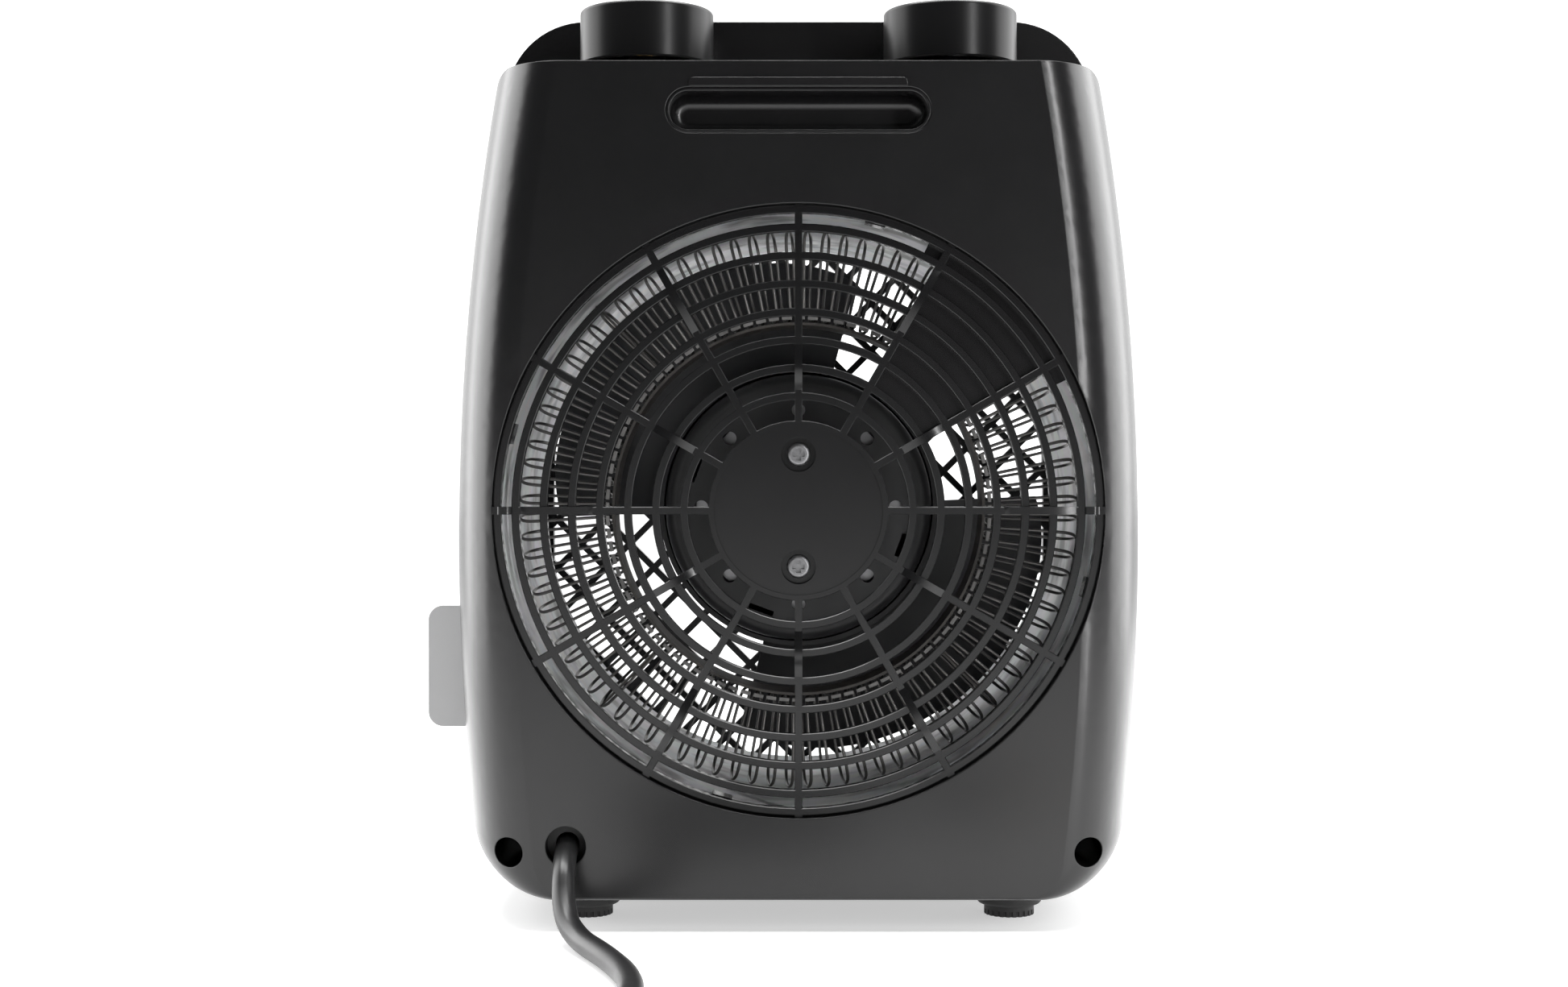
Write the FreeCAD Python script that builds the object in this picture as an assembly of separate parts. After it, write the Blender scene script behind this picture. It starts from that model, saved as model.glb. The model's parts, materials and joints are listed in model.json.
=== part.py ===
"""Compact free-standing fan heater: a two-part case on four feet, a round guard on the rear,
a wire heating element in a steel duct, a two-blade fan and its motor, a diagonal grille at
the front, and two control knobs on a deck behind the raised crown.

Millimetres, +Z up. The front faces -Y and the guard faces +Y. The origin is on the floor,
midway between the four feet.
"""
import FreeCAD
import Part
import math
import os

from FreeCAD import Vector

# ---- case -------------------------------------------------------------------------------
case_half_width = 102.9
case_widest_z = 112.0
case_side_radius = 800.0
case_bottom_z = 8.0
crown_top_z = 271.5
bottom_corner_radius = 22.0
top_corner_radius = 25.0
shoulder_radius = 8.5
rear_y = 75.0
front_y = -75.0
seam_y = 18.0
seam_gap = 0.25
wall = 2.5
rear_round_width = 24.0
rear_round_depth = 50.0
rear_round_fullness = 0.87
bottom_edge_round = 2.0
front_edge_radius = 9.0
clearance = 0.3

# ---- control deck -----------------------------------------------------------------------
deck_top_z = 248.9
deck_thickness = 2.5
deck_sink = 0.2
deck_ledge_width = 2.2
deck_ledge_depth = 2.3
collar_radius = 9.5
collar_height = 1.4
knob_x = 45.6
knob_y = 41.0
knob_radius = 20.0
knob_bottom_z = 253.2
knob_height = 16.3
knob_wall = 2.4
knob_hub_radius = 5.6
shaft_radius = 3.0
shaft_fit = 0.05
bushing_radius = 5.0
plug_cap_x = 70.0
plug_cap_radius = 3.0
plug_cap_y = 49.0
plug_cap_height = 3.6
lens_radius = 3.0
lamp_radius = 2.4
lamp_length = 14.0

# ---- grip and its brow ------------------------------------------------------------------
grip_half_length = 38.0
grip_low_z = 228.2
grip_high_z = 241.3
grip_depth = 13.0
grip_wall = 1.0
brow_half_length = 31.2
brow_high_z = 244.0
brow_proud = 0.9

# ---- guard ------------------------------------------------------------------------------
axis_z = 120.3
guard_back_y = 70.5
guard_thickness = 3.0
guard_radius = 87.0
guard_rim_width = 1.8
guard_hole_radius = 87.9
ledge_radius = 86.9
guard_collar_depth = 8.0
ring_count = 7
first_ring_radius = 32.8
ring_pitch = 8.05
ring_width = 2.2
spoke_count = 12
spoke_width = 2.2
bar_chamfer = 0.2
hub_radius = 25.8
hub_rim_width = 1.6
hub_boss_depth = 4.0
blank_first_spoke = 1
fin_height = 1.5
inner_fin = (33.6, 48.5)
outer_fin = (57.5, 81.0)
end_fin = (81.7, 86.6)
end_fin_spokes = (3, 9)

# ---- duct and element -------------------------------------------------------------------
duct_radius = 86.0
duct_wall = 0.6
duct_rear_y = 63.5
duct_front_y = -45.0
flange_radius = 91.0
ear_x = 93.3
ear_z = 34.0
ear_radius = 4.5
ring_radius = 55.0
mica_thickness = 0.8
element_y = 45.2
element_front_y = 28.0
arm_thickness = 0.6
hairpin_count = 92
wire_width = 0.8
wire_depth = 1.0
wire_inner_radius = 56.2
wire_outer_radius = 82.0
terminal_offset = 6
terminal_radius = 1.0
terminal_bush_radius = 2.6

# ---- motor and fan ----------------------------------------------------------------------
post_offset = 16.1
post_radius = 4.5
housing_radius = 41.5
housing_wall = 1.6
housing_rear_y = 18.0
housing_front_y = -8.0
vent_radius = 2.1
vent_circle = 30.3
stator_radius = 32.0
stator_bore = 14.0
stator_rear_y = 12.0
stator_length = 15.0
air_gap = 0.5
motor_shaft_radius = 2.5
motor_fit = 0.04
hub_cup_radius = 44.0
hub_cup_wall = 1.5
fan_rear_y = 8.0
fan_front_y = -22.0
blade_radius = 80.0
blade_span = 107.0
blade_thickness = 1.6
blade_start = (267.5, 87.5)
slot_count = 12
slot_width = 3.2
slot_depth = 9.0
winding_margin = 4.0
winding_depth = 3.2
bracket_width = 18.0
bracket_thickness = 1.6
rear_bush_radius = 4.0
rear_bush_length = 3.0
front_bush_radius = 5.0
bush_proud = 0.6

# ---- front grille -----------------------------------------------------------------------
opening_inset = 13.0
grille_depth = 4.0
grille_rim = 3.5
grille_flange = 3.5
lattice_pitch = 12.0
lattice_bar = 2.2

# ---- feet, fasteners and side tab -------------------------------------------------------
foot_x = 62.7
foot_y = 47.6
foot_radius = 9.6
foot_tread_radius = 7.4
foot_step_z = 3.2
foot_stem_radius = 3.0
tread_teeth = 24
case_screw_x = 83.2
case_screw_z = 22.3
case_screw_bore = 4.4
case_screw_radius = 1.7
duct_screw_radius = 1.4
guard_screw_radius = 2.0
guard_counterbore_depth = 0.5
screw_clearance = 0.05
flange_thickness = 0.8
tab_low_z = 52.0
tab_high_z = 89.6
tab_reach_x = 115.3
tab_root_x = 93.6
tab_lug_width = 2.0
tab_lug_height = 2.5
tab_thickness = 1.2
tab_corner = 4.5

# ---- lower bay and wiring ---------------------------------------------------------------
block_x = 31.0
bay_y = 31.0
block_size = (30.0, 14.0, 11.0)
block_pole_pitch = 9.0
block_screw_radius = 1.9
block_screw_length = 6.0
block_floor = 3.0
clamp_half_width = 8.2
clamp_screw_offset = 5.8
clamp_screw_radius = 1.25
clamp_head_radius = 1.9
clamp_head_height = 1.4
clamp_bite = 0.6
clamp_bar_top = 6.0
clamp_screw_depth = 6.5
tilt_x = -23.0
tilt_size = (22.0, 18.0, 17.0)
tilt_wall = 1.5
tilt_weight_radius = 5.5
tilt_weight_height = 7.5
tilt_travel = 6.0
tilt_fit = 0.08
tilt_tag_size = (1.2, 6.0, 4.0)
tilt_tag_z = 22.0
tilt_tag_pitch = 5.0
cutout_y = 11.0
cutout_radius = 7.5
cutout_height = 5.5
saddle_size = 18.0
saddle_height = 2.2
fuse_radius = 2.1
fuse_length = 14.0
fuse_angle = -16.0
terminal_reach = (83.95, 95.0)
terminal_bush_depth = (1.2, 3.0)
guide_thickness = 2.0
guide_margin = 6.0
guide_gap = 1.3
lead_radius = 1.7
lead_pitch = 5.0
right_leads = [(47.5, 18.0), (62.0, 34.0), (78.0, 54.0), (89.0, 82.0), (92.5, 118.0)]
right_leads += [(91.5, 156.0), (86.5, 190.0), (74.0, 212.0), (62.0, 224.0)]
left_leads = [(-34.8, 14.0), (-48.0, 20.0), (-64.0, 34.0), (-80.0, 57.0), (-90.0, 86.0)]
left_leads += [(-92.5, 122.0), (-90.5, 158.0), (-84.0, 190.0), (-70.0, 210.0), (-56.0, 218.0)]

# ---- cord -------------------------------------------------------------------------------
cord_radius = 3.3
cord_x = 66.5
cord_z = 24.4
cord_hole_radius = 5.75
cord_boss_depth = 11.0
cord_fit = 0.02
sleeve_fit = 0.05
floor_cord_z = cord_radius + 0.05
cord_start_y = 59.5
coil_x = 22.0
coil_y = 247.0
coil_mean_radius = 36.3
clamp_y = (59.2, 63.8)
coil_band = 26.4
coil_height = 13.2
coil_base_z = 0.9
tie_thickness = 0.8
tie_width = 9.0
plug_size = (34.0, 27.0, 18.0)
plug_neck_length = 14.0
plug_neck_radii = (4.4, 6.4)
plug_round = 4.0
plug_lift = 0.1
plug_gap = 6.0
blade_gap = 12.7
blade_size = (16.0, 1.5, 6.4)

deck_low_z = deck_top_z - deck_sink - deck_thickness
guard_face_y = guard_back_y + guard_thickness
side_centre_x = case_half_width - case_side_radius
inner_floor_z = case_bottom_z + wall
duct_outside = duct_radius + duct_wall
clamp_middle_y = 0.5 * (clamp_y[0] + clamp_y[1])
plug_rear_x = coil_x - coil_mean_radius - 0.5 * coil_band - plug_gap
plug_y = coil_y + coil_mean_radius
plug_z = plug_lift + 0.5 * plug_size[2]
stator_front_y = stator_rear_y - stator_length
terminal_lean = 0.5 * terminal_offset * 180.0 / hairpin_count
terminal_angles = (180.0 - terminal_lean, 180.0 + terminal_lean)

os.makedirs("parts", exist_ok=True)


# ---- helpers ----------------------------------------------------------------------------
def save(name, *solids):
    """Writes one node, as a single solid or as a group of separate solids."""
    shape = solids[0] if len(solids) == 1 else Part.makeCompound(list(solids))
    if not shape.isValid():
        print("INVALID", name)
    shape.exportStep("parts/" + name + ".step")
    print(name, "solids", len(shape.Solids), "volume", round(shape.Volume, 1))


def box(x, y, z):
    """A box from three (low, high) pairs."""
    size = (x[1] - x[0], y[1] - y[0], z[1] - z[0])
    return Part.makeBox(size[0], size[1], size[2], Vector(x[0], y[0], z[0]))


def rod_y(radius, y, x=0.0, z=axis_z):
    """A cylinder along Y, between the two y values."""
    return Part.makeCylinder(radius, y[1] - y[0], Vector(x, y[0], z), Vector(0, 1, 0))


def rod_z(radius, z, x, y):
    """A cylinder along Z, between the two z values."""
    return Part.makeCylinder(radius, z[1] - z[0], Vector(x, y, z[0]), Vector(0, 0, 1))


def tube_y(outer, inner, y, x=0.0, z=axis_z):
    return rod_y(outer, y, x, z).cut(rod_y(inner, y, x, z))


def fuse(*shapes):
    whole = shapes[0]
    for shape in shapes[1:]:
        whole = whole.fuse(shape)
    return whole.removeSplitter()


def polar(radius, degrees, y):
    """A point about the fan axis. Angles run clockwise from the top, seen from the rear."""
    turn = math.radians(degrees)
    return Vector(-radius * math.sin(turn), y, axis_z + radius * math.cos(turn))


def about_axis(shape, degrees):
    """A copy turned clockwise about the fan axis, seen from the rear."""
    copy = shape.copy()
    copy.rotate(Vector(0, 0, axis_z), Vector(0, 1, 0), -degrees)
    return copy


def outline(y, inset, low, high, corner_cut):
    """The case's outline at one depth, drawn in by an inset at the sides, bottom and top."""
    side = case_side_radius - inset
    right = []
    for z_line, radius, sign in (
        (case_bottom_z + low, bottom_corner_radius - corner_cut, -1.0),
        (crown_top_z - high, top_corner_radius - corner_cut, 1.0),
    ):
        cz = z_line - sign * radius
        cx = side_centre_x + math.sqrt((side - radius) ** 2 - (cz - case_widest_z) ** 2)
        reach = side - radius
        dx = (cx - side_centre_x) / reach
        dz = (cz - case_widest_z) / reach
        half = math.hypot(dx, dz + sign)
        on_line = (cx, z_line)
        middle = (cx + radius * dx / half, cz + radius * (dz + sign) / half)
        on_side = (side_centre_x + side * dx, case_widest_z + side * dz)
        right.append((on_line, middle, on_side))
    bottom, top = right
    side_middle = (side_centre_x + side, case_widest_z)

    def at(point, mirror=1.0):
        return Vector(mirror * point[0], y, point[1])

    edges = [Part.LineSegment(at(bottom[0], -1.0), at(bottom[0])).toShape()]
    edges.append(Part.Arc(at(bottom[0]), at(bottom[1]), at(bottom[2])).toShape())
    edges.append(Part.Arc(at(bottom[2]), at(side_middle), at(top[2])).toShape())
    edges.append(Part.Arc(at(top[2]), at(top[1]), at(top[0])).toShape())
    edges.append(Part.LineSegment(at(top[0]), at(top[0], -1.0)).toShape())
    edges.append(Part.Arc(at(top[0], -1.0), at(top[1], -1.0), at(top[2], -1.0)).toShape())
    edges.append(
        Part.Arc(at(top[2], -1.0), at(side_middle, -1.0), at(bottom[2], -1.0)).toShape()
    )
    edges.append(
        Part.Arc(at(bottom[2], -1.0), at(bottom[1], -1.0), at(bottom[0], -1.0)).toShape()
    )
    return Part.Wire(edges)


def rear_body(thickness):
    """The rear half of the case, smaller by a wall thickness all round, as one solid."""
    sections = [outline(seam_y, thickness, thickness, thickness, thickness)]
    steps = 6
    for step in range(steps + 1):
        turn = 0.5 * math.pi * step / steps
        inset = rear_round_width * (1.0 - math.cos(turn) ** rear_round_fullness)
        bulge = math.sin(turn) ** rear_round_fullness
        depth = thickness + (rear_round_depth - thickness) * (1.0 - bulge)
        late = max(0.0, (step - 3.0) / (steps - 3.0))
        low = bottom_edge_round * late * late
        cut = thickness + 0.5 * (inset + low)
        sections.append(
            outline(rear_y - depth, thickness + inset, thickness + low, thickness, cut)
        )
    return Part.makeLoft(sections, True, False)


def front_body(thickness):
    """The front half of the case, smaller by a wall thickness all round, as one solid."""
    wire = outline(front_y + thickness, thickness, thickness, thickness, thickness)
    prism = Part.Face(wire).extrude(Vector(0, seam_y - front_y - thickness, 0))
    face_y = front_y + thickness
    rim = [e for e in prism.Edges if e.BoundBox.YMax < face_y + 0.01]
    return prism.makeFillet(front_edge_radius - thickness, rim)


def slot_prism(half_length, low_z, high_z, y):
    """A prism along Y with a slot-shaped outline and fully round ends."""
    radius = 0.5 * (high_z - low_z)
    middle = 0.5 * (high_z + low_z)
    straight = half_length - radius
    corners = [Vector(-straight, y[0], high_z), Vector(straight, y[0], high_z)]
    corners += [Vector(straight, y[0], low_z), Vector(-straight, y[0], low_z)]
    right = Vector(half_length, y[0], middle)
    left = Vector(-half_length, y[0], middle)
    wire = Part.Wire(
        [
            Part.LineSegment(corners[0], corners[1]).toShape(),
            Part.Arc(corners[1], right, corners[2]).toShape(),
            Part.LineSegment(corners[2], corners[3]).toShape(),
            Part.Arc(corners[3], left, corners[0]).toShape(),
        ]
    )
    return Part.Face(wire).extrude(Vector(0, y[1] - y[0], 0))


def shoulder_prism(sink):
    """The case's outline up to the deck, with rounded shoulders, as a prism along Y."""
    high = crown_top_z - deck_top_z + sink
    wire = outline(seam_y, 0.0, 0.0, high, top_corner_radius - shoulder_radius)
    return Part.Face(wire).extrude(Vector(0, rear_y - seam_y, 0))


# ---- case shells ------------------------------------------------------------------------
outer_rear = rear_body(0.0)
inner_rear = rear_body(wall)
outer_front = front_body(0.0)
inner_front = front_body(wall)
far = 400.0
above_deck = box((-far, far), (seam_y - 1.0, far), (deck_top_z, far))
boss_radius = case_screw_bore + 2.0
screw_floor_y = seam_y + 6.5


def make_rear_shell():
    shell = outer_rear.cut(inner_rear)
    ledge_space = rear_body(wall + deck_ledge_width)
    ledge_z = (deck_low_z - deck_ledge_depth, deck_low_z - 0.05)
    ledge = outer_rear.common(box((-far, far), (seam_y, far), ledge_z)).cut(ledge_space)
    shell = shell.fuse(ledge)
    collar = rod_y(guard_hole_radius + wall, (rear_y - guard_collar_depth, rear_y + 1.0))
    shell = shell.fuse(outer_rear.common(collar))
    for side in (-1.0, 1.0):
        x = side * case_screw_x
        boss = rod_y(boss_radius, (seam_y, rear_y), x, case_screw_z)
        shell = shell.fuse(outer_rear.common(boss))
    cord_boss = rod_y(cord_hole_radius + wall, (rear_y - cord_boss_depth, rear_y), cord_x, cord_z)
    shell = shell.fuse(outer_rear.common(cord_boss))
    shell = shell.cut(above_deck)
    shell = shell.cut(rod_y(ledge_radius, (0.0, rear_y + 5.0)))
    shell = shell.cut(rod_y(guard_hole_radius, (guard_back_y, rear_y + 5.0)))
    for side in (-1.0, 1.0):
        x = side * case_screw_x
        shell = shell.cut(rod_y(case_screw_bore, (screw_floor_y, far), x, case_screw_z))
        shell = shell.cut(rod_y(1.9, (0.0, far), x, case_screw_z))
        shell = shell.cut(rod_z(foot_stem_radius + 0.1, (0.0, 30.0), side * foot_x, foot_y))
    shell = shell.cut(rod_y(cord_hole_radius, (clamp_y[1], far), cord_x, cord_z))
    shell = shell.cut(slot_prism(grip_half_length, grip_low_z, grip_high_z, (50.0, 90.0)))
    shell = shell.cut(box((-far, far), (0.0, seam_y + seam_gap), (-10.0, far)))
    return shell.common(shoulder_prism(0.0)).removeSplitter()


def make_front_shell():
    crown_back = box((-far, far), (seam_y - wall, seam_y), (deck_low_z - clearance, far))
    shell = outer_front.cut(inner_front.cut(crown_back))
    opening_face = Part.Face(
        outline(front_y - 5.0, opening_inset, opening_inset, opening_inset, opening_inset)
    )
    opening = opening_face.extrude(Vector(0, 5.0 + wall + 1.0, 0))
    grille_room = opening_face.extrude(Vector(0, 5.0 + wall + grille_depth - 1.0 + clearance, 0))
    shell = shell.cut(opening)
    for side in (-1.0, 1.0):
        boss = rod_y(4.6, (front_y + wall, seam_y), side * case_screw_x, case_screw_z)
        shell = shell.fuse(outer_front.common(boss).cut(grille_room))
        for up in (-1.0, 1.0):
            spot = (side * ear_x, axis_z + up * ear_z)
            stub = rod_y(3.8, (front_y + 0.5 * wall, duct_front_y), spot[0], spot[1])
            shell = shell.fuse(stub)
            shell = shell.cut(rod_y(1.5, (duct_front_y - 16.0, 0.0), spot[0], spot[1]))
        bore = rod_y(
            case_screw_radius + screw_clearance, (seam_y - 18.0, far), side * case_screw_x, case_screw_z
        )
        shell = shell.cut(bore)
        shell = shell.cut(rod_z(foot_stem_radius + 0.1, (0.0, 30.0), side * foot_x, -foot_y))
    tab_slot = box(
        (tab_root_x - guide_margin, far),
        (seam_y - tab_thickness - 0.3, seam_y + 1.0),
        (tab_low_z - 0.15, tab_high_z + 0.15),
    )
    return shell.cut(tab_slot).removeSplitter()


# ---- guard ------------------------------------------------------------------------------
def band_radii():
    """Inner and outer radius of each open band between the guard's rings."""
    edges = [hub_radius]
    for ring in range(ring_count):
        centre = first_ring_radius + ring * ring_pitch
        edges += [centre - 0.5 * ring_width, centre + 0.5 * ring_width]
    edges.append(guard_radius - guard_rim_width)
    return [(edges[i], edges[i + 1]) for i in range(0, len(edges), 2)]


def cell_wire(inner, outer, spoke, y, grow):
    """One cell between two spokes and two rings, made larger on every side by grow."""
    inner -= grow
    outer += grow
    half = 0.5 * spoke_width - grow
    step = 360.0 / spoke_count
    lean_in = math.degrees(math.asin(half / inner))
    lean_out = math.degrees(math.asin(half / outer))
    start = spoke * step
    end = start + step
    a = polar(inner, start + lean_in, y)
    b = polar(outer, start + lean_out, y)
    c = polar(outer, end - lean_out, y)
    d = polar(inner, end - lean_in, y)
    middle = start + 0.5 * step
    return Part.Wire(
        [
            Part.LineSegment(a, b).toShape(),
            Part.Arc(b, polar(outer, middle, y), c).toShape(),
            Part.LineSegment(c, d).toShape(),
            Part.Arc(d, polar(inner, middle, y), a).toShape(),
        ]
    )


def fin(radii, degrees):
    """A low bowed rib along a spoke, standing on the guard's outer face."""
    start = Vector(-0.5 * spoke_width, guard_face_y - 0.5, axis_z + radii[0])
    end = Vector(-0.5 * spoke_width, guard_face_y - 0.5, axis_z + radii[1])
    crest = Vector(
        -0.5 * spoke_width, guard_face_y + fin_height, axis_z + 0.5 * (radii[0] + radii[1])
    )
    wire = Part.Wire(
        [Part.Arc(start, crest, end).toShape(), Part.LineSegment(end, start).toShape()]
    )
    return about_axis(Part.Face(wire).extrude(Vector(spoke_width, 0, 0)), degrees)


def make_guard():
    plate = rod_y(guard_radius, (guard_back_y, guard_face_y))
    cutters = []
    for inner, outer in band_radii():
        for spoke in range(spoke_count):
            wire = cell_wire(inner, outer, spoke, guard_back_y - 1.0, 0.0)
            cutters.append(Part.Face(wire).extrude(Vector(0, guard_thickness + 2.0, 0)))
    plate = plate.cut(Part.makeCompound(cutters))
    bevels = []
    for inner, outer in band_radii():
        for spoke in range(spoke_count):
            low = cell_wire(inner, outer, spoke, guard_face_y - bar_chamfer, 0.0)
            high = cell_wire(inner, outer, spoke, guard_face_y, bar_chamfer)
            bevels.append(Part.makeLoft([low, high], True, True))
    plate = plate.cut(Part.makeCompound(bevels))
    plate = plate.fuse(rod_y(hub_radius - 1.0, (guard_back_y - hub_boss_depth, guard_face_y - 1.0)))
    plate = plate.cut(rod_y(hub_radius - hub_rim_width, (guard_face_y - 0.5, rear_y)))
    for up in (-1.0, 1.0):
        z = axis_z + up * post_offset
        plate = plate.cut(rod_y(5.0, (guard_back_y - 0.5, rear_y), 0.0, z))
        plate = plate.cut(rod_y(2.2, (0.0, rear_y), 0.0, z))
    for spoke in range(spoke_count):
        end = box(
            (-0.5 * spoke_width, 0.5 * spoke_width),
            (guard_back_y, guard_face_y - bar_chamfer),
            (axis_z + guard_radius - 1.0, axis_z + guard_hole_radius - 0.1),
        )
        plate = plate.fuse(about_axis(end, spoke * 360.0 / spoke_count))
        radii = inner_fin if spoke % 2 == 0 else outer_fin
        plate = plate.fuse(fin(radii, spoke * 360.0 / spoke_count))
        if spoke in end_fin_spokes:
            plate = plate.fuse(fin(end_fin, spoke * 360.0 / spoke_count))
    collar_back_y = rear_y - guard_collar_depth
    for hook in range(4):
        arm = box(
            (-3.0, 3.0),
            (collar_back_y - 2.8, guard_back_y + 0.5),
            (axis_z + guard_radius - 2.1, axis_z + guard_radius - 0.7),
        )
        nib = box(
            (-3.0, 3.0),
            (collar_back_y - 2.8, collar_back_y - 0.2),
            (axis_z + guard_radius - 1.2, axis_z + guard_hole_radius),
        )
        plate = plate.fuse(about_axis(arm.fuse(nib), 15.0 + 90.0 * hook))
    return plate.removeSplitter()


def make_blank():
    """The sheet that closes the guard's cells between two of its spokes."""
    step = 360.0 / spoke_count
    start = blank_first_spoke * step
    inner = first_ring_radius + ring_pitch
    outer = ledge_radius - clearance
    y = guard_back_y - 1.2
    pieces = []
    for low, high, extra in ((inner, outer, 0.0), (outer - 6.5, outer, 4.0)):
        a = polar(low, start - extra, y)
        b = polar(high, start - extra, y)
        c = polar(high, start + step + extra, y)
        d = polar(low, start + step + extra, y)
        middle = start + 0.5 * step
        wire = Part.Wire(
            [
                Part.LineSegment(a, b).toShape(),
                Part.Arc(b, polar(high, middle, y), c).toShape(),
                Part.LineSegment(c, d).toShape(),
                Part.Arc(d, polar(low, middle, y), a).toShape(),
            ]
        )
        pieces.append(Part.Face(wire).extrude(Vector(0, 1.2, 0)))
    return fuse(*pieces)


def make_grip():
    cup = slot_prism(
        grip_half_length - 0.15,
        grip_low_z + 0.15,
        grip_high_z - 0.15,
        (rear_y - grip_depth, rear_y - 0.3),
    )
    hollow = slot_prism(
        grip_half_length - grip_wall,
        grip_low_z + grip_wall,
        grip_high_z - grip_wall,
        (rear_y - grip_depth + grip_wall, rear_y + 1.0),
    )
    rim = [e for e in hollow.Edges if e.BoundBox.YMax < rear_y - grip_depth + grip_wall + 0.01]
    cup = cup.cut(hollow.makeFillet(3.6, rim))
    lip = slot_prism(
        grip_half_length + 1.2, grip_low_z - 1.2, grip_high_z + 1.2, (70.5, rear_y - wall - 0.05)
    )
    mouth = slot_prism(grip_half_length - 0.5, grip_low_z + 0.5, grip_high_z - 0.5, (60.0, 80.0))
    return fuse(cup, lip.cut(mouth))


def make_brow():
    """The slim strip above the grip, seated on the rear shell's face."""
    strip = box(
        (-brow_half_length, brow_half_length),
        (rear_y, rear_y + brow_proud),
        (grip_high_z + 0.1, brow_high_z),
    )
    ends = [
        e
        for e in strip.Edges
        if abs(e.BoundBox.YLength - brow_proud) < 0.01 and e.BoundBox.ZMin > brow_high_z - 0.1
    ]
    return strip.makeFillet(1.6, ends)


# ---- deck, knobs and switches -----------------------------------------------------------
def make_deck():
    inner = rear_body(wall + clearance)
    slab = inner.common(
        box((-far, far), (seam_y + 0.2, far), (deck_low_z, deck_low_z + deck_thickness))
    )
    slab = slab.common(shoulder_prism(deck_sink))
    for side in (-1.0, 1.0):
        x = side * knob_x
        top = deck_low_z + deck_thickness
        slab = slab.fuse(rod_z(collar_radius, (top - 0.5, top + collar_height), x, knob_y))
        slab = slab.cut(rod_z(bushing_radius + 0.2, (0.0, far), x, knob_y))
        slab = slab.cut(rod_z(1.6, (0.0, far), side * plug_cap_x, plug_cap_y))
    slab = slab.cut(rod_z(lens_radius + 0.1, (0.0, far), 0.0, knob_y))
    return slab.removeSplitter()


def make_knob(x):
    top = knob_bottom_z + knob_height
    body = rod_z(knob_radius, (knob_bottom_z, top), x, knob_y)
    upper = [e for e in body.Edges if e.BoundBox.ZMin > top - 0.01]
    body = body.makeFillet(1.2, upper)
    lower = [e for e in body.Edges if e.BoundBox.ZMax < knob_bottom_z + 0.01]
    body = body.makeChamfer(0.4, lower)
    ceiling = top - knob_wall
    hollow = rod_z(knob_radius - knob_wall, (knob_bottom_z - 1.0, ceiling), x, knob_y)
    hub = rod_z(knob_hub_radius, (knob_bottom_z, ceiling + 0.5), x, knob_y)
    body = body.cut(hollow).fuse(hub)
    body = body.cut(rod_z(shaft_radius + 0.02, (0.0, ceiling - 1.0), x, knob_y))
    mark = box(
        (x - 0.6, x + 0.6), (knob_y - knob_radius + 1.8, knob_y - 8.0), (top - 0.5, top + 1.0)
    )
    return body.cut(mark).removeSplitter()


shaft_top_z = knob_bottom_z + knob_height - knob_wall - 1.3
switch_top_z = deck_low_z - 0.15
switch_low_z = switch_top_z - 20.0
mode_shaft_low_z = switch_low_z + 6.2
thermostat_shaft_low_z = switch_top_z - 8.7


def make_shaft(x, low_z):
    return rod_z(shaft_radius, (low_z, shaft_top_z), x, knob_y)


def make_mode_switch(x):
    body = box((x - 14.0, x + 14.0), (knob_y - 13.0, knob_y + 13.0), (switch_low_z, switch_top_z))
    edges = [e for e in body.Edges if e.BoundBox.ZLength > 19.0]
    body = body.makeFillet(2.0, edges)
    neck_top = deck_low_z + deck_thickness + collar_height + 0.6
    body = body.fuse(rod_z(bushing_radius, (switch_top_z - 1.0, neck_top), x, knob_y))
    body = body.cut(rod_z(shaft_radius + shaft_fit, (switch_low_z + 6.0, far), x, knob_y))
    return body.removeSplitter()


def make_switch_tags(x):
    tags = []
    y = (knob_y - 1.0, knob_y - 0.2)
    z = (switch_low_z - 7.0, switch_low_z)
    for step in (-8.0, 0.0, 8.0):
        tags.append(box((x + step - 2.4, x + step + 2.4), y, z))
    return tags


def make_thermostat(x):
    """A bracket with the threaded bush, and under it the stack that holds the leaves."""
    plate = box((x - 17.0, x + 17.0), (knob_y - 8.0, knob_y + 8.0), (switch_top_z - 1.5, switch_top_z))
    leg = box((x - 17.0, x - 15.5), (knob_y - 8.0, knob_y + 8.0), (switch_top_z - 18.0, switch_top_z))
    neck_top = deck_low_z + deck_thickness + collar_height + 0.6
    bush = rod_z(bushing_radius, (switch_top_z - 4.0, neck_top), x, knob_y)
    return fuse(plate, leg, bush).cut(rod_z(shaft_radius + shaft_fit, (0.0, far), x, knob_y))


def make_thermostat_stack(x):
    return box((x - 15.5, x - 6.5), (knob_y - 5.0, knob_y + 5.0), (switch_top_z - 18.0, switch_top_z - 6.6))


def make_thermostat_leaves(x):
    leaves = []
    for drop in (9.0, 14.0):
        z = switch_top_z - drop
        leaves.append(box((x - 6.5, x + 14.0), (knob_y - 3.5, knob_y + 3.5), (z - 0.8, z)))
    return leaves


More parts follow.
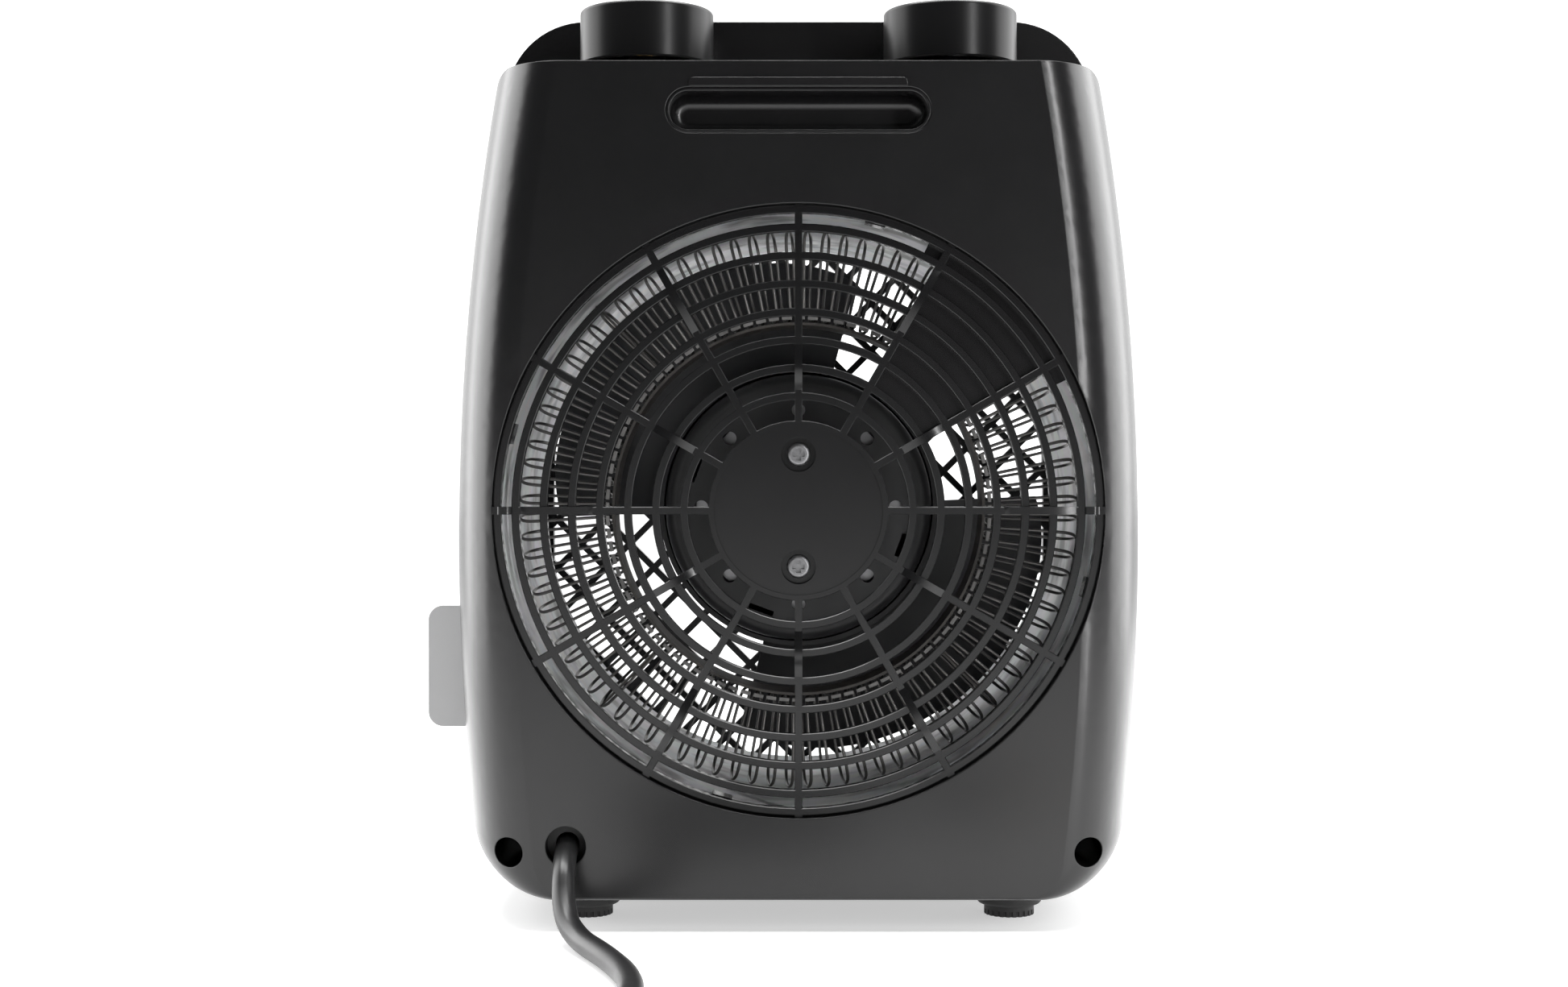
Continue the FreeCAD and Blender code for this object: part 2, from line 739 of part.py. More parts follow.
# ---- duct and heating element -----------------------------------------------------------
def make_duct():
    outer = duct_radius + duct_wall
    duct = rod_y(outer, (duct_front_y, duct_rear_y))
    duct = duct.fuse(rod_y(flange_radius, (duct_front_y, duct_front_y + duct_wall + 0.2)))
    for side in (-1.0, 1.0):
        for up in (-1.0, 1.0):
            x = side * ear_x
            z = axis_z + up * ear_z
            strip_y = (duct_front_y, duct_front_y + duct_wall + 0.2)
            duct = duct.fuse(rod_y(ear_radius, strip_y, x, z))
            low_x, high_x = sorted((side * (ear_x - 14.0), x))
            duct = duct.fuse(box((low_x, high_x), strip_y, (z - ear_radius, z + ear_radius)))
            duct = duct.cut(rod_y(1.9, (duct_front_y - 1.0, duct_front_y + 3.0), x, z))
    duct = duct.cut(rod_y(duct_radius, (duct_front_y - 1.0, duct_rear_y + 1.0)))
    for angle in terminal_angles:
        duct = duct.cut(radial_rod(terminal_bush_radius + 0.05, (duct_radius - 2.0, 95.0), angle))
    return duct.removeSplitter()


def radial_rod(radius, reach, degrees):
    """A rod pointing outwards from the fan axis, level with the middle of the wire."""
    rod = Part.makeCylinder(
        radius,
        reach[1] - reach[0],
        Vector(0, element_y + 0.5 * wire_depth, axis_z + reach[0]),
        Vector(0, 0, 1),
    )
    return about_axis(rod, degrees)


def make_mica_ring():
    return tube_y(ring_radius + mica_thickness, ring_radius, (element_front_y, element_y))


def make_mica_arms():
    """Four strips between the inner ring and the duct, standing up between the wires."""
    inner = ring_radius + mica_thickness + 0.05
    outer = duct_radius - 0.25
    crest = element_y + 4.3
    shoulder = element_y - 0.2
    profile = [(inner, element_front_y - 2.0), (outer, element_front_y - 2.0), (outer, shoulder)]
    profile += [(wire_outer_radius - 1.4, shoulder), (wire_outer_radius - 1.4, crest)]
    profile += [(wire_inner_radius + 1.6, crest), (wire_inner_radius + 1.6, shoulder)]
    profile += [(inner, shoulder), (inner, element_front_y - 2.0)]
    points = [Vector(-0.5 * arm_thickness, y, axis_z + r) for r, y in profile]
    arm = Part.Face(Part.makePolygon(points)).extrude(Vector(arm_thickness, 0, 0))
    return [about_axis(arm, 45.0 + 90.0 * k) for k in range(4)]


def make_wire():
    """The heating wire: one closed band of hairpins that run in and out about the ring."""
    leg_step = 180.0 / hairpin_count
    half = 0.5 * wire_width
    y = element_y

    def leg(index, radius, side):
        lean = math.degrees(math.asin(side * half / radius))
        return polar(radius, (index + 0.5) * leg_step + lean, y)

    def tip(index, radius, out, wide):
        spread = 0.5 * math.radians(leg_step) * radius
        bow = spread + (half if wide else -half)
        return polar(radius + out * bow, (index + 1.0) * leg_step, y)

    wires = []
    for side in (-1.0, 1.0):
        edges = []
        for pin in range(hairpin_count):
            a = 2 * pin
            edges.append((leg(a, wire_inner_radius, side), leg(a, wire_outer_radius, side)))
            crest = tip(a, wire_outer_radius, 1.0, side < 0.0)
            edges.append(
                (leg(a, wire_outer_radius, side), crest, leg(a + 1, wire_outer_radius, -side))
            )
            edges.append(
                (leg(a + 1, wire_outer_radius, -side), leg(a + 1, wire_inner_radius, -side))
            )
            foot = tip(a + 1, wire_inner_radius, -1.0, side > 0.0)
            following = (a + 2) % (2 * hairpin_count)
            edges.append(
                (leg(a + 1, wire_inner_radius, -side), foot, leg(following, wire_inner_radius, side))
            )
        shapes = []
        for points in edges:
            if len(points) == 2:
                shapes.append(Part.LineSegment(points[0], points[1]).toShape())
            else:
                shapes.append(Part.Arc(points[0], points[1], points[2]).toShape())
        wires.append(Part.Wire(shapes))
    face = Part.Face(wires[0]).cut(Part.Face(wires[1]))
    return face.Faces[0].extrude(Vector(0, wire_depth, 0))


# ---- motor and fan ----------------------------------------------------------------------
def make_housing():
    cup = rod_y(housing_radius, (housing_front_y, housing_rear_y))
    edge = [e for e in cup.Edges if e.BoundBox.YMin > housing_rear_y - 0.01]
    cup = cup.makeFillet(3.0, edge)
    floor_y = housing_rear_y - housing_wall
    cup = cup.cut(rod_y(housing_radius - housing_wall, (housing_front_y - 1.0, floor_y)))
    ring = tube_y(housing_radius - 4.0, housing_radius - 6.0, (floor_y, housing_rear_y + 0.9))
    cup = cup.fuse(ring)
    stator_front_y = stator_rear_y - stator_length
    for quarter in range(4):
        rib = box(
            (-3.0, 3.0),
            (stator_front_y, floor_y + 0.5),
            (axis_z + stator_radius + 0.2, axis_z + housing_radius - 0.5 * housing_wall),
        )
        cup = cup.fuse(about_axis(rib, 45.0 + 90.0 * quarter))
        slot = box(
            (-4.0, 4.0), (floor_y - 0.5, far), (axis_z + 33.2, axis_z + 34.9)
        )
        cup = cup.cut(about_axis(slot, 20.0 + 90.0 * quarter))
    for hole in range(8):
        spot = polar(vent_circle, 45.0 * hole, 0.0)
        cup = cup.cut(rod_y(vent_radius, (floor_y - 1.0, far), spot.x, spot.z))
    for up in (-1.0, 1.0):
        z = axis_z + up * post_offset
        cup = cup.cut(rod_y(2.2, (floor_y - 1.0, far), 0.0, z))
    cup = cup.fuse(rod_y(6.0, (floor_y - 2.6, housing_rear_y)))
    cup = cup.cut(rod_y(motor_shaft_radius + 1.5, (floor_y - 3.0, housing_rear_y - 1.0)))
    return cup.removeSplitter()


def make_fan():
    rim = rod_y(hub_cup_radius, (fan_front_y, fan_rear_y))
    edge = [e for e in rim.Edges if e.BoundBox.YMax < fan_front_y + 0.01]
    rim = rim.makeFillet(4.0, edge)
    rim = rim.cut(rod_y(hub_cup_radius - hub_cup_wall, (fan_front_y + 2.0, fan_rear_y + 1.0)))
    rim = rim.fuse(rod_y(6.5, (fan_front_y + 1.0, fan_front_y + 10.0)))
    sections = 9
    for start in blade_start:
        wires = []
        for step in range(sections):
            share = step / (sections - 1.0)
            lead = fan_rear_y - blade_thickness - share * (fan_rear_y - fan_front_y - 6.0)
            turn = start + blade_span * share
            reach = blade_radius - 5.0 * (2.0 * share - 1.0) ** 4
            inner = hub_cup_radius - 0.8
            corners = [polar(inner, turn, lead), polar(reach, turn, lead)]
            corners += [polar(reach, turn, lead + blade_thickness)]
            corners += [polar(inner, turn, lead + blade_thickness), corners[0]]
            wires.append(Part.makePolygon(corners))
        rim = rim.fuse(Part.makeLoft(wires, True, False))
    bore = rod_y(motor_shaft_radius + 0.02, (fan_front_y - 1.0, fan_front_y + 12.0))
    return rim.cut(bore).removeSplitter()


# ---- front grille -----------------------------------------------------------------------
def make_grille():
    inset = opening_inset + clearance
    inner = inset + grille_rim
    back_y = front_y + wall + grille_depth - 1.0
    plate_y = (front_y + 1.2, back_y)
    plate = Part.Face(outline(plate_y[0], inset, inset, inset, inset)).extrude(
        Vector(0, plate_y[1] - plate_y[0], 0)
    )
    reach = inset - grille_flange
    flange = Part.Face(outline(front_y + wall + 0.05, reach, reach, reach, reach)).extrude(
        Vector(0, 1.4, 0)
    )
    for side in (-1.0, 1.0):
        for up in (-1.0, 1.0):
            spot = (side * ear_x, axis_z + up * ear_z)
            flange = flange.cut(rod_y(4.2, (front_y, 0.0), spot[0], spot[1]))
        flange = flange.cut(rod_y(5.2, (front_y, 0.0), side * case_screw_x, case_screw_z))
    plate = plate.fuse(flange)
    field = Part.Face(outline(plate_y[0] - 1.0, inner, inner, inner, inner))
    half = 0.5 * (lattice_pitch - lattice_bar) * math.sqrt(2.0)
    stride = lattice_pitch * math.sqrt(2.0)
    middle_z = 0.5 * (case_bottom_z + crown_top_z)
    cells = []
    y = plate_y[0] - 1.0
    for row in range(-22, 23):
        for column in range(-9, 10):
            x = (column + 0.5 * (row % 2)) * stride
            z = middle_z + 0.5 * row * stride
            corners = [Vector(x + half, y, z), Vector(x, y, z + half)]
            corners += [Vector(x - half, y, z), Vector(x, y, z - half)]
            inside = [field.isInside(corner, 0.001, True) for corner in corners]
            if not any(inside):
                continue
            cell = Part.Face(Part.makePolygon(corners + [corners[0]]))
            if not all(inside):
                cell = cell.common(field)
            for face in cell.Faces:
                if face.Area > 4.0:
                    cells.append(face.extrude(Vector(0, grille_depth + 6.0, 0)))
    return plate.cut(Part.makeCompound(cells)).removeSplitter()


# ---- feet, tab and fasteners ------------------------------------------------------------
def make_foot(x, y, body):
    foot = rod_z(foot_radius, (foot_step_z, 24.0), x, y)
    edge = [e for e in foot.Edges if e.BoundBox.ZMax < foot_step_z + 0.01]
    foot = foot.makeFillet(1.2, edge)
    foot = foot.cut(body)
    foot = min(foot.Solids, key=lambda piece: piece.BoundBox.ZMin)
    foot = foot.fuse(rod_z(foot_tread_radius, (0.0, foot_step_z + 0.5), x, y))
    notches = []
    for tooth in range(tread_teeth):
        turn = 2.0 * math.pi * tooth / tread_teeth
        spot = (x + foot_tread_radius * math.cos(turn), y + foot_tread_radius * math.sin(turn))
        notches.append(rod_z(0.45, (-0.5, 1.6), spot[0], spot[1]))
    foot = foot.cut(Part.makeCompound(notches))
    stem = rod_z(foot_stem_radius, (foot_step_z, 14.0), x, y)
    return foot.fuse(stem).removeSplitter()


def make_tab():
    y = (seam_y - tab_thickness - 0.1, seam_y - 0.1)
    blade = box((tab_root_x, tab_reach_x), y, (tab_low_z, tab_high_z))
    outer = [
        e for e in blade.Edges if e.BoundBox.XMin > tab_reach_x - 0.01 and e.BoundBox.YLength > 1.0
    ]
    blade = blade.makeFillet(tab_corner, outer)
    lug_z = (tab_low_z - tab_lug_height, tab_high_z + tab_lug_height)
    lugs = box((tab_root_x, tab_root_x + tab_lug_width), y, lug_z)
    return fuse(blade, lugs)


def screw(head_radius, head_height, shank_radius, length, x, z, seat_y):
    """A pan-head screw along -Y, seated with its head on the rear side of a face."""
    head = rod_y(head_radius, (seat_y, seat_y + head_height), x, z)
    top = [e for e in head.Edges if e.BoundBox.YMin > seat_y + head_height - 0.01]
    head = head.makeFillet(0.6 * head_height, top)
    for size in ((0.9, 2.2), (2.2, 0.9)):
        cross = box(
            (x - 0.5 * size[0] * 1.6, x + 0.5 * size[0] * 1.6),
            (seat_y + head_height - 0.9, seat_y + head_height + 1.0),
            (z - 0.5 * size[1] * 1.6, z + 0.5 * size[1] * 1.6),
        )
        head = head.cut(cross)
    return head.fuse(rod_y(shank_radius, (seat_y - length, seat_y + 0.3), x, z)).removeSplitter()


# ---- cord -------------------------------------------------------------------------------
cord_points = [
    Vector(cord_x, cord_start_y, cord_z),
    Vector(cord_x, 78.5, cord_z - 0.2),
    Vector(65.6, 90.5, 8.5),
    Vector(60.5, 100.0, floor_cord_z),
    Vector(50.5, 121.5, floor_cord_z),
    Vector(42.0, 146.5, floor_cord_z),
    Vector(40.5, 172.0, floor_cord_z),
    Vector(50.0, 201.0, floor_cord_z),
    Vector(56.5, 226.0, floor_cord_z),
]


def make_cord(points, label, section_radius):
    """A round cord on straight runs joined by tangent arcs, each as large as its runs allow."""
    edges = []
    start = points[0]
    for before, corner, after in zip(points, points[1:], points[2:]):
        back = (before - corner).normalize()
        ahead = (after - corner).normalize()
        shorter = min(before.distanceToPoint(corner), after.distanceToPoint(corner))
        half_turn = 0.5 * (math.pi - back.getAngle(ahead))
        trim = 0.45 * shorter
        radius = trim / math.tan(half_turn)
        print(label, "arc radius", round(radius, 1), "turn", round(math.degrees(2 * half_turn)))
        bisector = (back + ahead).normalize()
        enter = corner + back * trim
        leave = corner + ahead * trim
        middle = corner + bisector * (radius / math.cos(half_turn) - radius)
        edges.append(Part.LineSegment(start, enter).toShape())
        edges.append(Part.Arc(enter, middle, leave).toShape())
        start = leave
    edges.append(Part.LineSegment(start, points[-1]).toShape())
    path = Part.Wire(edges)
    direction = points[1] - points[0]
    ring = Part.Wire(Part.makeCircle(section_radius, points[0], direction))
    tube = path.makePipeShell([ring], True, False, 2)
    ideal = math.pi * section_radius**2 * path.Length
    print(label, "length", round(path.Length, 1), "volume ratio", round(tube.Volume / ideal, 4))
    return tube


# ---- motor's fixed pieces ---------------------------------------------------------------
def make_stator():
    core = tube_y(stator_radius, stator_bore, (stator_front_y, stator_rear_y))
    notch = box(
        (-0.5 * slot_width, 0.5 * slot_width),
        (stator_front_y - 1.0, stator_rear_y + 1.0),
        (axis_z + stator_bore - 1.0, axis_z + stator_bore + slot_depth),
    )
    for slot in range(slot_count):
        core = core.cut(about_axis(notch, slot * 360.0 / slot_count))
    return core.removeSplitter()


def make_windings():
    inner = stator_bore + winding_margin
    outer = stator_radius - winding_margin
    rear = tube_y(outer, inner, (stator_rear_y, stator_rear_y + winding_depth))
    front = tube_y(outer, inner, (stator_front_y - winding_depth, stator_front_y))
    return [rear, front]


def make_motor_bracket():
    y = (housing_front_y, housing_front_y + bracket_thickness)
    half = 0.5 * bracket_width
    strip = box((-housing_radius, housing_radius), y, (axis_z - half, axis_z + half))
    strip = strip.common(rod_y(housing_radius - housing_wall, y))
    return strip.cut(rod_y(front_bush_radius, (y[0] - 1.0, far)))


def make_motor_bushes():
    """The shaft's two bearings: one in the housing's floor and one in the bracket."""
    bore = motor_shaft_radius + motor_fit
    rear = (housing_rear_y - 1.2 - rear_bush_length, housing_rear_y - 1.2)
    front = (housing_front_y - bush_proud, housing_front_y + bracket_thickness + bush_proud)
    return [tube_y(rear_bush_radius, bore, rear), tube_y(front_bush_radius, bore, front)]


def make_posts():
    """Two round posts that carry the motor housing from the guard's middle."""
    posts = []
    for up in (-1.0, 1.0):
        z = axis_z + up * post_offset
        post = rod_y(post_radius, (housing_rear_y, guard_back_y - hub_boss_depth), 0.0, z)
        bore = rod_y(guard_screw_radius + screw_clearance, (guard_back_y - 14.0, far), 0.0, z)
        posts.append(post.cut(bore))
    return posts


# ---- deck trim --------------------------------------------------------------------------
def make_deck_plugs():
    plugs = []
    seat = deck_low_z + deck_thickness
    for side in (-1.0, 1.0):
        x = side * plug_cap_x
        cap = rod_z(plug_cap_radius, (seat, seat + plug_cap_height), x, plug_cap_y)
        crest = [e for e in cap.Edges if e.BoundBox.ZMin > seat + plug_cap_height - 0.1]
        stem = rod_z(1.5, (seat - 4.0, seat + 0.5), x, plug_cap_y)
        plugs.append(cap.makeFillet(0.5 * plug_cap_height, crest).fuse(stem))
    return plugs


def make_pilot_lamp():
    lamp = rod_z(lamp_radius, (deck_low_z - lamp_length, deck_low_z), 0.0, knob_y)
    tip = [e for e in lamp.Edges if e.BoundBox.ZMin > deck_low_z - 0.01]
    return lamp.makeFillet(0.5 * lamp_radius, tip)


# ---- lower bay --------------------------------------------------------------------------
def centred_box(x, y, low_z, size):
    return box(
        (x - 0.5 * size[0], x + 0.5 * size[0]),
        (y - 0.5 * size[1], y + 0.5 * size[1]),
        (low_z, low_z + size[2]),
    )


def block_poles():
    return [block_x + (pole - 1.0) * block_pole_pitch for pole in range(3)]


def make_terminal_block():
    block = centred_box(block_x, bay_y, inner_floor_z, block_size).common(inner_rear)
    for x in block_poles():
        block = block.cut(rod_z(block_screw_radius + 0.1, (inner_floor_z + block_floor, far), x, bay_y))
    return block


def make_terminal_screws():
    low = inner_floor_z + block_floor
    return [rod_z(block_screw_radius, (low, low + block_screw_length), x, bay_y) for x in block_poles()]


def make_clamp(part):
    """The cord clamp's lower bed or its upper bar, each hollowed for the cord."""
    x = (cord_x - clamp_half_width, cord_x + clamp_half_width)
    z = (0.0, cord_z - clamp_bite) if part == "bed" else (cord_z + clamp_bite, cord_z + clamp_bar_top)
    piece = box(x, clamp_y, z).common(inner_rear)
    piece = piece.cut(rod_y(cord_radius + cord_fit, (0.0, rear_y), cord_x, cord_z))
    for side in (-1.0, 1.0):
        spot = cord_x + side * clamp_screw_offset
        bore = clamp_screw_radius + screw_clearance
        piece = piece.cut(rod_z(bore, (cord_z - clamp_screw_depth - 0.5, far), spot, clamp_middle_y))
    return piece


def make_clamp_screws():
    screws = []
    top = cord_z + clamp_bar_top
    for side in (-1.0, 1.0):
        x = cord_x + side * clamp_screw_offset
        shank = rod_z(clamp_screw_radius, (cord_z - clamp_screw_depth, top + 0.2), x, clamp_middle_y)
        head = rod_z(clamp_head_radius, (top, top + clamp_head_height), x, clamp_middle_y)
        screws.append(fuse(shank, head))
    return screws


def make_cord_sleeve():
    y = (rear_y - cord_boss_depth, rear_y - 0.5 * cord_boss_depth)
    return tube_y(cord_hole_radius, cord_radius + sleeve_fit, y, cord_x, cord_z)


def make_tilt_case():
    case = centred_box(tilt_x, bay_y, inner_floor_z, tilt_size)
    upright = [e for e in case.Edges if e.BoundBox.ZLength > tilt_size[2] - 0.1]
    case = case.makeFillet(tilt_wall, upright).common(inner_rear)
    low = inner_floor_z + tilt_wall
    room = (low, low + tilt_weight_height + tilt_travel)
    return case.cut(rod_z(tilt_weight_radius + tilt_fit, room, tilt_x, bay_y))


def make_tilt_weight():
    low = inner_floor_z + tilt_wall
    return rod_z(tilt_weight_radius, (low, low + tilt_weight_height), tilt_x, bay_y)


def make_tilt_tags():
    y = bay_y + 0.5 * (tilt_size[1] + tilt_tag_size[1])
    return [
        centred_box(tilt_x + side * 0.5 * tilt_tag_pitch, y, tilt_tag_z, tilt_tag_size)
        for side in (-1.0, 1.0)
    ]


def make_cutout_saddle():
    top = axis_z + duct_outside
    size = (saddle_size, saddle_size, saddle_height + 2.0)
    saddle = centred_box(0.0, cutout_y, top - 2.0, size)
    return saddle.cut(rod_y(duct_outside, (-60.0, 80.0)))


def make_cutout():
    low = axis_z + duct_outside + saddle_height
    return rod_z(cutout_radius, (low, low + cutout_height), 0.0, cutout_y)


def make_thermal_fuse():
    spot = polar(duct_outside + fuse_radius, fuse_angle, 0.0)
    half = 0.5 * fuse_length
    return rod_y(fuse_radius, (cutout_y - half, cutout_y + half), spot.x, spot.z)


def make_terminals():
    return [radial_rod(terminal_radius, terminal_reach, angle) for angle in terminal_angles]


def make_terminal_bushes():
    bushes = []
    reach = (duct_radius - terminal_bush_depth[0], duct_radius + terminal_bush_depth[1])
    for angle in terminal_angles:
        collar = radial_rod(terminal_bush_radius, reach, angle)
        bushes.append(collar.cut(radial_rod(terminal_radius + shaft_fit, (80.0, 100.0), angle)))
    return bushes


def make_tab_guide():
    """The inner rail that the side card slides along."""
    rear = seam_y - tab_thickness - 0.1 - guide_gap
    guide = box(
        (tab_root_x - guide_margin, far),
        (rear - guide_thickness, rear),
        (tab_low_z - guide_margin, tab_high_z + guide_margin),
    )
    return guide.common(inner_front).cut(rod_y(duct_outside + 1.0, (-60.0, 80.0)))


def make_loom():
    """Two pairs of insulated leads that climb beside the duct to the switches."""
    leads = []
    for route in (right_leads, left_leads):
        for shift in (-0.5, 0.5):
            points = [Vector(x, bay_y + shift * lead_pitch, z) for x, z in route]
            leads.append(make_cord(points, "lead", lead_radius))
    return leads


# ---- cord's coil and plug ---------------------------------------------------------------
def make_coil():
    """The outer shape of the turns that are put away."""
    z = (coil_base_z, coil_base_z + coil_height)
    coil = rod_z(coil_mean_radius + 0.5 * coil_band, z, coil_x, coil_y)
    coil = coil.cut(rod_z(coil_mean_radius - 0.5 * coil_band, z, coil_x, coil_y))
    return coil.makeFillet(cord_radius - 0.1, coil.Edges)


def make_tie(coil):
    """A flat strap around the coil's section."""
    half = 0.5 * coil_band + tie_thickness
    middle = coil_y + coil_mean_radius
    tie = box(
        (coil_x - 0.5 * tie_width, coil_x + 0.5 * tie_width),
        (middle - half, middle + half),
        (coil_base_z - tie_thickness, coil_base_z + coil_height + tie_thickness),
    )
    along = [e for e in tie.Edges if e.BoundBox.XLength > tie_width - 0.1]
    return tie.makeFillet(cord_radius, along).cut(coil)


def make_tail(coil, plug):
    """The short length of cord between the coil and the plug."""
    start = Vector(coil_x - 20.0, plug_y, coil_base_z + coil_height - cord_radius)
    end = Vector(plug_rear_x, plug_y, plug_z)
    tail = Part.makeCylinder(cord_radius, (end - start).Length, start, end - start)
    return tail.cut(coil).cut(plug)


def make_plug():
    neck_end = plug_rear_x - plug_neck_length
    neck = Part.makeCone(
        plug_neck_radii[0],
        plug_neck_radii[1],
        plug_neck_length,
        Vector(plug_rear_x, plug_y, plug_z),
        Vector(-1, 0, 0),
    )
    body = centred_box(neck_end - 0.5 * plug_size[0], plug_y, plug_lift, plug_size)
    rounded = [e for e in body.Edges if e.BoundBox.XMax > neck_end - plug_size[0] + 1.0]
    return fuse(body.makeFillet(plug_round, rounded), neck)


def make_blades():
    x = plug_rear_x - plug_neck_length - plug_size[0] - 0.5 * blade_size[0]
    low = plug_z - 0.5 * blade_size[2]
    return [
        centred_box(x, plug_y + side * 0.5 * blade_gap, low, blade_size) for side in (-1.0, 1.0)
    ]


# ---- build ------------------------------------------------------------------------------
grip = make_grip()
save("rear_shell", make_rear_shell().cut(grip))
save("front_shell", make_front_shell())
save("grip_cup", grip)
save("brow_strip", make_brow())
save("rear_guard", make_guard())
save("blanking_sheet", make_blank())
guard_screws = []
case_screws = []
duct_screws = []
for side in (-1.0, 1.0):
    z = axis_z + side * post_offset
    seat = guard_back_y - guard_counterbore_depth
    guard_screws.append(screw(3.4, 1.8, guard_screw_radius, 12.0, 0.0, z, seat))
    x = side * case_screw_x
    case_screws.append(screw(3.6, 2.2, case_screw_radius, 18.0, x, case_screw_z, screw_floor_y))
    for up in (-1.0, 1.0):
        z = axis_z + up * ear_z
        seat = duct_front_y + flange_thickness
        duct_screws.append(screw(3.4, 1.8, duct_screw_radius, 12.0, side * ear_x, z, seat))
save("guard_screws", *guard_screws)
save("case_screws", *case_screws)
save("duct_screws", *duct_screws)
save("guard_posts", *make_posts())

save("motor_housing", make_housing())
save("motor_stator", make_stator())
save("motor_windings", *make_windings())
rotor_y = (stator_front_y + 0.5, stator_rear_y - 0.5)
save("motor_rotor", tube_y(stator_bore - air_gap, motor_shaft_radius, rotor_y))
save("motor_shaft", rod_y(motor_shaft_radius, (fan_front_y - 1.5, housing_rear_y - 1.2)))
save("motor_bracket", make_motor_bracket())
save("motor_bushes", *make_motor_bushes())
save("fan", make_fan())

save("duct", make_duct())
save("mica_ring", make_mica_ring())
save("mica_arms", *make_mica_arms())
save("heating_wire", make_wire())
save("element_terminals", *make_terminals())
save("terminal_bushes", *make_terminal_bushes())

save("control_deck", make_deck())
save("mode_knob", make_knob(-knob_x))
save("thermostat_knob", make_knob(knob_x))
save("mode_switch", make_mode_switch(-knob_x))
save("mode_switch_tags", *make_switch_tags(-knob_x))
save("mode_shaft", make_shaft(-knob_x, mode_shaft_low_z))
save("thermostat_bracket", make_thermostat(knob_x))
save("thermostat_stack", make_thermostat_stack(knob_x))
save("thermostat_leaves", *make_thermostat_leaves(knob_x))
save("thermostat_shaft", make_shaft(knob_x, thermostat_shaft_low_z))
save("deck_plugs", *make_deck_plugs())
save("pilot_lens", rod_z(lens_radius, (deck_low_z, deck_low_z + deck_thickness), 0.0, knob_y))
save("pilot_lamp", make_pilot_lamp())

save("front_grille", make_grille())
feet = []
for x in (-foot_x, foot_x):
    feet.append(make_foot(x, foot_y, outer_rear))
    feet.append(make_foot(x, -foot_y, outer_front))
save("feet", *feet)
save("side_tab", make_tab())
save("tab_guide", make_tab_guide())

save("terminal_block", make_terminal_block())
save("terminal_screws", *make_terminal_screws())
save("cord_clamp_bed", make_clamp("bed"))
save("cord_clamp_bar", make_clamp("bar"))
save("cord_clamp_screws", *make_clamp_screws())
save("cord_sleeve", make_cord_sleeve())
save("tilt_switch_case", make_tilt_case())
save("tilt_switch_weight", make_tilt_weight())
save("tilt_switch_tags", *make_tilt_tags())
save("cutout_saddle", make_cutout_saddle())
save("thermal_cutout", make_cutout())
save("thermal_fuse", make_thermal_fuse())
save("wire_loom", *make_loom())

coil = make_coil()
plug = make_plug()
save("cord_coil", coil)
save("cord_tie", make_tie(coil))
save("cord_line", make_cord(cord_points, "cord", cord_radius).cut(coil))
save("cord_tail", make_tail(coil, plug))
save("plug_body", plug)
save("plug_blades", *make_blades())
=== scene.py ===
"""Studio picture of a compact black fan heater, seen from behind.

Metres, in the CAD part's own frame: up is +Z and the rear, which the camera sees, is +Y.
"""

import json
import math

import bpy
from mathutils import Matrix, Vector


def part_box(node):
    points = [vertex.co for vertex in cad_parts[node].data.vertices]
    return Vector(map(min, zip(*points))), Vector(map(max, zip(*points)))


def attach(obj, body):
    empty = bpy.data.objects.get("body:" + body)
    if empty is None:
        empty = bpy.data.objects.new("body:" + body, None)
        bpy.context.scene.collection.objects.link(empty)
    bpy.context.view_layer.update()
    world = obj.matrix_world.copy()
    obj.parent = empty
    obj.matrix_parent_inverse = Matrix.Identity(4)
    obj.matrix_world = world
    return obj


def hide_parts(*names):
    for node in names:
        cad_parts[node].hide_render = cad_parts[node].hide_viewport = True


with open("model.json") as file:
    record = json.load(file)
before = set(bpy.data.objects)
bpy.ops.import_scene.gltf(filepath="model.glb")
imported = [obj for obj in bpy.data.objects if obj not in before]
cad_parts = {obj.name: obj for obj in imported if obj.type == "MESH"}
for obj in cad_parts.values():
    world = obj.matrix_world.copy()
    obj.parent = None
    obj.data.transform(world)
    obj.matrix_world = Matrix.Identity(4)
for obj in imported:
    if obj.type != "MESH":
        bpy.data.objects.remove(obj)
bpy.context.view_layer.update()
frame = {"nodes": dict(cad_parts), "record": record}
nodes = frame["nodes"]

AXIS_Z = 0.1203  # height of the fan's axis


# ---- materials --------------------------------------------------------------------------
NOISE_LOW = 0.3  # the range that a noise texture mostly stays in
NOISE_HIGH = 0.7
GRAIN_DEPTH = 0.0003
COAT_ROUGHNESS = 0.15
EDGE_SAMPLES = 6


